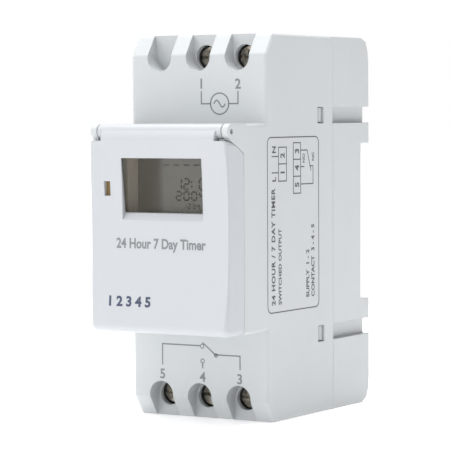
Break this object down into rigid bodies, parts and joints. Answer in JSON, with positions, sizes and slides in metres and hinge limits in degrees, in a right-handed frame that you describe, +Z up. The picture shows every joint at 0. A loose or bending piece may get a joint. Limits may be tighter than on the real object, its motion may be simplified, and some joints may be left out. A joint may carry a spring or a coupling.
{
  "type": "din rail timer",
  "caption": "Two-module DIN rail time switch with a hinged cover over its display and keys, screw terminals at top and bottom, and a sprung rail latch",
  "frame": {"origin": "middle of the rail seat, the face at the back that rests on the rail's flanges", "axes": "+X to the right seen from the front, +Y to the back, out of the rail seat towards the rail, +Z up across the rail"},
  "size_m": [0.0354, 0.0652, 0.086],
  "materials": {
    "case": "fine satin moulded light grey plastic",
    "door": "satin moulded light grey plastic",
    "lens": "clear smoke-tinted acrylic",
    "pin_steel": "bright steel",
    "latch": "black nylon",
    "spring_steel": "spring wire",
    "screw_steel": "nickel-plated steel, dulled",
    "clamp_steel": "zinc-plated steel",
    "bar_brass": "brass strip",
    "bezel": "warm grey plastic",
    "display": "reflective liquid crystal cell",
    "silicone": "conductive silicone",
    "circuit_board": "green solder mask",
    "black_plastic": "moulded epoxy",
    "can_metal": "drawn can",
    "button": "grey moulded keys",
    "reset": "red pin",
    "lamp": "red epoxy lamp",
    "light_pipe": "amber acrylic",
    "capacitor_box": "yellow film capacitor",
    "capacitor_sleeve": "shrink sleeve",
    "varistor": "blue epoxy coat",
    "resistor": "resistor body",
    "relay_case": "black relay case",
    "relay_moulding": "relay base",
    "winding": "enamelled copper winding",
    "relay_iron": "plated soft iron",
    "contact_metal": "silver-tipped brass",
    "cable": "grey flat cable"
  },
  "bodies": {
    "case": {"front_housing": "case", "rear_base": "case", "hinge_pins": "pin_steel", "display_board_screws": "pin_steel", "power_board_screws": "pin_steel", "latch_spring": "spring_steel", "terminal_bar_1": "bar_brass", "terminal_bar_2": "bar_brass", "terminal_bar_3": "bar_brass", "terminal_bar_4": "bar_brass", "terminal_bar_5": "bar_brass", "display_bezel": "bezel", "display_glass": "display", "contact_strips": "silicone", "switch_domes": "silicone", "display_board": "circuit_board", "power_board": "circuit_board", "microcontroller": "black_plastic", "switch_bodies": "black_plastic", "rectifier_diodes": "black_plastic", "crystal": "can_metal", "backup_battery": "can_metal", "led": "lamp", "light_pipe": "light_pipe", "suppression_capacitor": "capacitor_box", "storage_capacitor": "capacitor_sleeve", "varistor": "varistor", "dropper_resistors": "resistor", "relay_cover": "relay_case", "relay_base": "relay_moulding", "relay_coil": "winding", "relay_yoke": "relay_iron", "relay_contacts": "contact_metal", "ribbon_cable": "cable"},
    "door": {"door": "door", "display_lens": "lens", "lamp_window": "light_pipe"},
    "rail_latch": {"rail_latch": "latch"},
    "relay_armature": {"relay_armature": "relay_iron"},
    "terminal_screw_1": {"terminal_screw_1": "screw_steel"},
    "terminal_clamp_1": {"terminal_clamp_1": "clamp_steel"},
    "terminal_screw_2": {"terminal_screw_2": "screw_steel"},
    "terminal_clamp_2": {"terminal_clamp_2": "clamp_steel"},
    "terminal_screw_3": {"terminal_screw_3": "screw_steel"},
    "terminal_clamp_3": {"terminal_clamp_3": "clamp_steel"},
    "terminal_screw_4": {"terminal_screw_4": "screw_steel"},
    "terminal_clamp_4": {"terminal_clamp_4": "clamp_steel"},
    "terminal_screw_5": {"terminal_screw_5": "screw_steel"},
    "terminal_clamp_5": {"terminal_clamp_5": "clamp_steel"},
    "program_button": {"program_button": "button"},
    "manual_button": {"manual_button": "button"},
    "clock_button": {"clock_button": "button"},
    "day_button": {"day_button": "button"},
    "hour_button": {"hour_button": "button"},
    "minute_button": {"minute_button": "button"},
    "reset_button": {"reset_button": "reset"}
  },
  "joints": [
    {"name": "door_hinge", "type": "hinge", "parent": "case", "child": "door", "pos_m": [0, -0.05885, 0.0216], "axis": [-1, 0, 0], "range_deg": [0, 160]},
    {"name": "terminal_screw_1_turn", "type": "hinge", "parent": "case", "child": "terminal_screw_1", "pos_m": [0, -0.0386, 0.038], "axis": [0, 1, 0], "range_deg": [0, 2701]},
    {"name": "terminal_clamp_1_slide", "type": "slide", "parent": "case", "child": "terminal_clamp_1", "axis": [0, -1, 0], "range_m": [0, 0.0045]},
    {"name": "terminal_screw_2_turn", "type": "hinge", "parent": "case", "child": "terminal_screw_2", "pos_m": [0.01015, -0.0386, 0.038], "axis": [0, 1, 0], "range_deg": [0, 2701]},
    {"name": "terminal_clamp_2_slide", "type": "slide", "parent": "case", "child": "terminal_clamp_2", "axis": [0, -1, 0], "range_m": [0, 0.0045]},
    {"name": "terminal_screw_3_turn", "type": "hinge", "parent": "case", "child": "terminal_screw_3", "pos_m": [0.01015, -0.0386, -0.038], "axis": [0, 1, 0], "range_deg": [0, 2701]},
    {"name": "terminal_clamp_3_slide", "type": "slide", "parent": "case", "child": "terminal_clamp_3", "axis": [0, -1, 0], "range_m": [0, 0.0045]},
    {"name": "terminal_screw_4_turn", "type": "hinge", "parent": "case", "child": "terminal_screw_4", "pos_m": [0, -0.0386, -0.038], "axis": [0, 1, 0], "range_deg": [0, 2701]},
    {"name": "terminal_clamp_4_slide", "type": "slide", "parent": "case", "child": "terminal_clamp_4", "axis": [0, -1, 0], "range_m": [0, 0.0045]},
    {"name": "terminal_screw_5_turn", "type": "hinge", "parent": "case", "child": "terminal_screw_5", "pos_m": [-0.01015, -0.0386, -0.038], "axis": [0, 1, 0], "range_deg": [0, 2701]},
    {"name": "terminal_clamp_5_slide", "type": "slide", "parent": "case", "child": "terminal_clamp_5", "axis": [0, -1, 0], "range_m": [0, 0.0045]},
    {"name": "program_button_press", "type": "slide", "parent": "case", "child": "program_button", "axis": [0, 1, 0], "range_m": [0, 0.0006], "stiffness_N_per_m": 400},
    {"name": "manual_button_press", "type": "slide", "parent": "case", "child": "manual_button", "axis": [0, 1, 0], "range_m": [0, 0.0006], "stiffness_N_per_m": 400},
    {"name": "clock_button_press", "type": "slide", "parent": "case", "child": "clock_button", "axis": [0, 1, 0], "range_m": [0, 0.0006], "stiffness_N_per_m": 400},
    {"name": "day_button_press", "type": "slide", "parent": "case", "child": "day_button", "axis": [0, 1, 0], "range_m": [0, 0.0006], "stiffness_N_per_m": 400},
    {"name": "hour_button_press", "type": "slide", "parent": "case", "child": "hour_button", "axis": [0, 1, 0], "range_m": [0, 0.0006], "stiffness_N_per_m": 400},
    {"name": "minute_button_press", "type": "slide", "parent": "case", "child": "minute_button", "axis": [0, 1, 0], "range_m": [0, 0.0006], "stiffness_N_per_m": 400},
    {"name": "reset_button_press", "type": "slide", "parent": "case", "child": "reset_button", "axis": [0, 1, 0], "range_m": [0, 0.0006], "stiffness_N_per_m": 400},
    {"name": "rail_latch_slide", "type": "slide", "parent": "case", "child": "rail_latch", "axis": [0, 0, -1], "range_m": [0, 0.0035], "stiffness_N_per_m": 600, "deforming": ["latch_spring"]},
    {"name": "relay_armature_tilt", "type": "hinge", "parent": "case", "child": "relay_armature", "pos_m": [0.0041, -0.01928, -0.003], "axis": [0, 0, -1], "range_deg": [0, 3.8], "stiffness_Nm_per_rad": 0.02}
  ],
  "couplings": [
    {"joint": "terminal_screw_1_turn", "follows": "terminal_clamp_1_slide", "rad_per_m": 10472},
    {"joint": "terminal_screw_2_turn", "follows": "terminal_clamp_2_slide", "rad_per_m": 10472},
    {"joint": "terminal_screw_3_turn", "follows": "terminal_clamp_3_slide", "rad_per_m": 10472},
    {"joint": "terminal_screw_4_turn", "follows": "terminal_clamp_4_slide", "rad_per_m": 10472},
    {"joint": "terminal_screw_5_turn", "follows": "terminal_clamp_5_slide", "rad_per_m": 10472}
  ]
}
